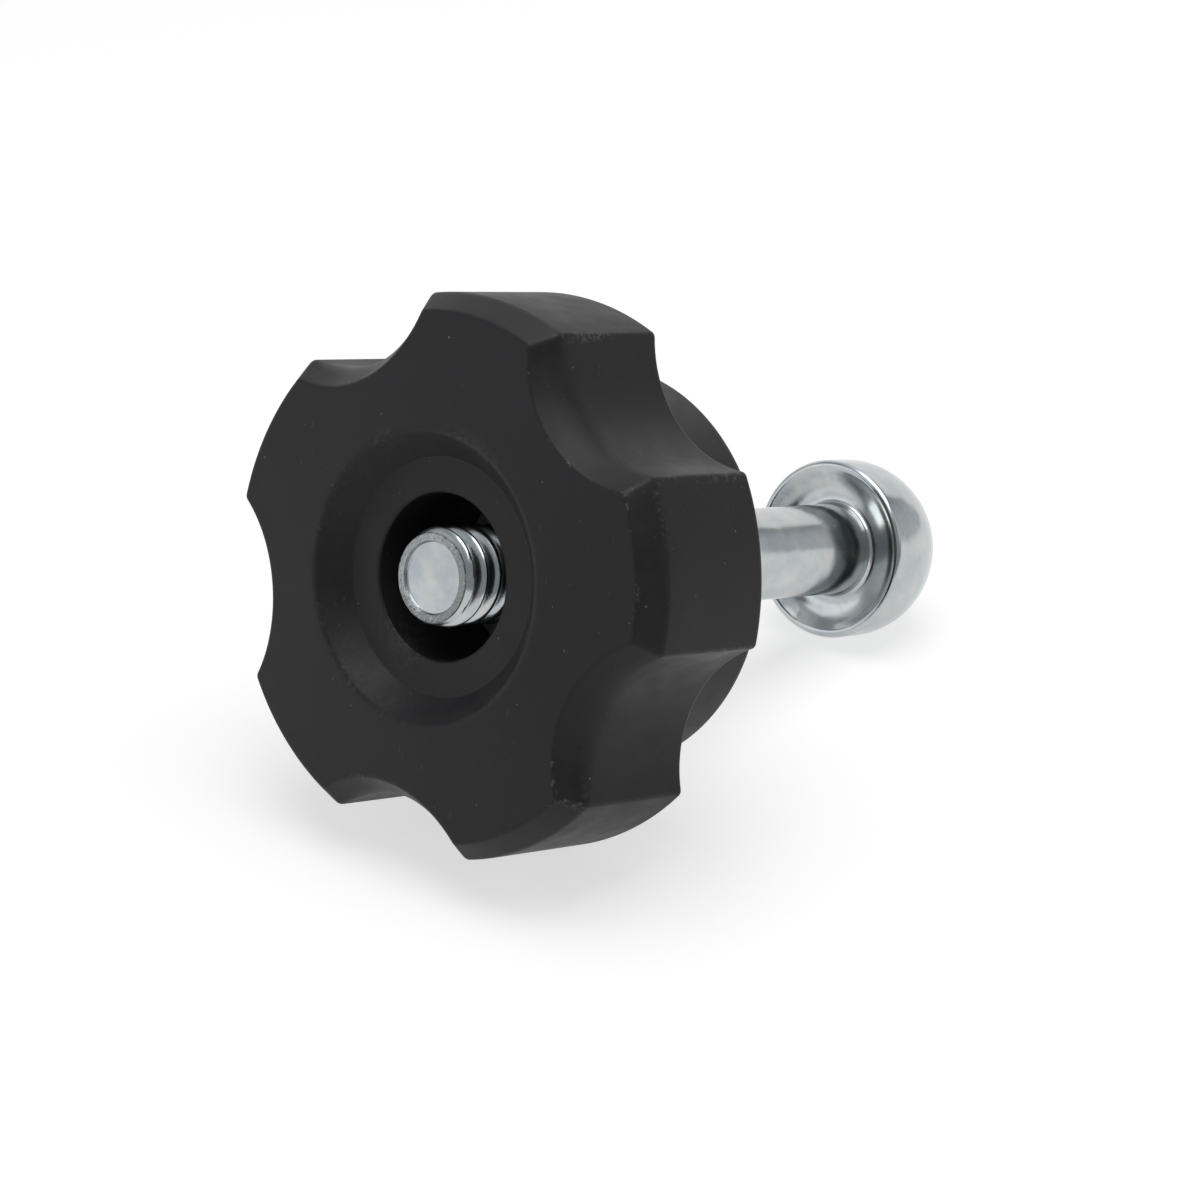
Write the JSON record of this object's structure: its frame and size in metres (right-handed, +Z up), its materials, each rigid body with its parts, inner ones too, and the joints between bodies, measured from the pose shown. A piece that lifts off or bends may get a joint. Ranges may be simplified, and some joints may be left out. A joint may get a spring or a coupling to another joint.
{
  "type": "knob bolt",
  "caption": "Clamping bolt with a lobed hand knob: a black plastic knob with a threaded insert screws along a plated bolt with a thick round head.",
  "frame": {"origin": "middle of the underside of the lying part, on the surface that it rests on", "axes": "+X from the bolt's head towards the knob, +Z up; the bolt's axis lies in the XZ plane and rises towards the knob"},
  "size_m": [0.0512, 0.035, 0.0351],
  "materials": {
    "black_plastic": "matt moulded plastic with fine scuffs and dust",
    "insert_steel": "plain turned steel",
    "zinc_plate": "bright zinc plate, slightly blue"
  },
  "bodies": {
    "bolt": {"bolt": "zinc_plate"},
    "insert": {"threaded_insert": "insert_steel"},
    "knob": {"knob": "black_plastic"}
  },
  "joints": [
    {"name": "knob_travel", "type": "slide", "parent": "bolt", "child": "insert", "axis": [0.9529, 0, 0.3033], "range_m": [-0.00829, 0.01235]},
    {"name": "knob_turn", "type": "hinge", "parent": "insert", "child": "knob", "pos_m": [0.00468, 0, 0.0138], "axis": [0.9529, 0, 0.3033], "range_deg": [-2350, 3500]}
  ],
  "couplings": [
    {"joint": "knob_travel", "follows": "knob_turn", "m_per_rad": 0.00020213}
  ]
}
